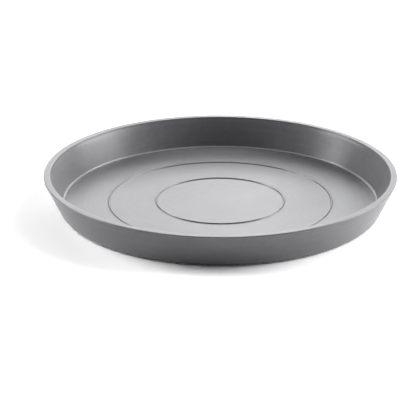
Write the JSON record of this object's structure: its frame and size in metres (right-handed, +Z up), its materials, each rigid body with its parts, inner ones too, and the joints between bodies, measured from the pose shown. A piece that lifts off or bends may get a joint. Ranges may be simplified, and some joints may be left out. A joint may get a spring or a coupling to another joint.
{
  "type": "plant saucer",
  "caption": "Round shallow plant saucer with a flared wall and level rim, low raised rings on its floor that a pot stands on, and a standing ring underneath.",
  "frame": {"origin": "centre of the face that the saucer stands on", "axes": "+Z up along the axis that the section is turned about; +X and +Y lie level, and all directions round the axis are alike"},
  "size_m": [0.3, 0.3, 0.0308],
  "materials": {
    "grey_plastic": "satin, fine moulded texture, mid grey, mass-coloured"
  },
  "bodies": {
    "root": {"saucer": "grey_plastic"}
  },
  "joints": []
}
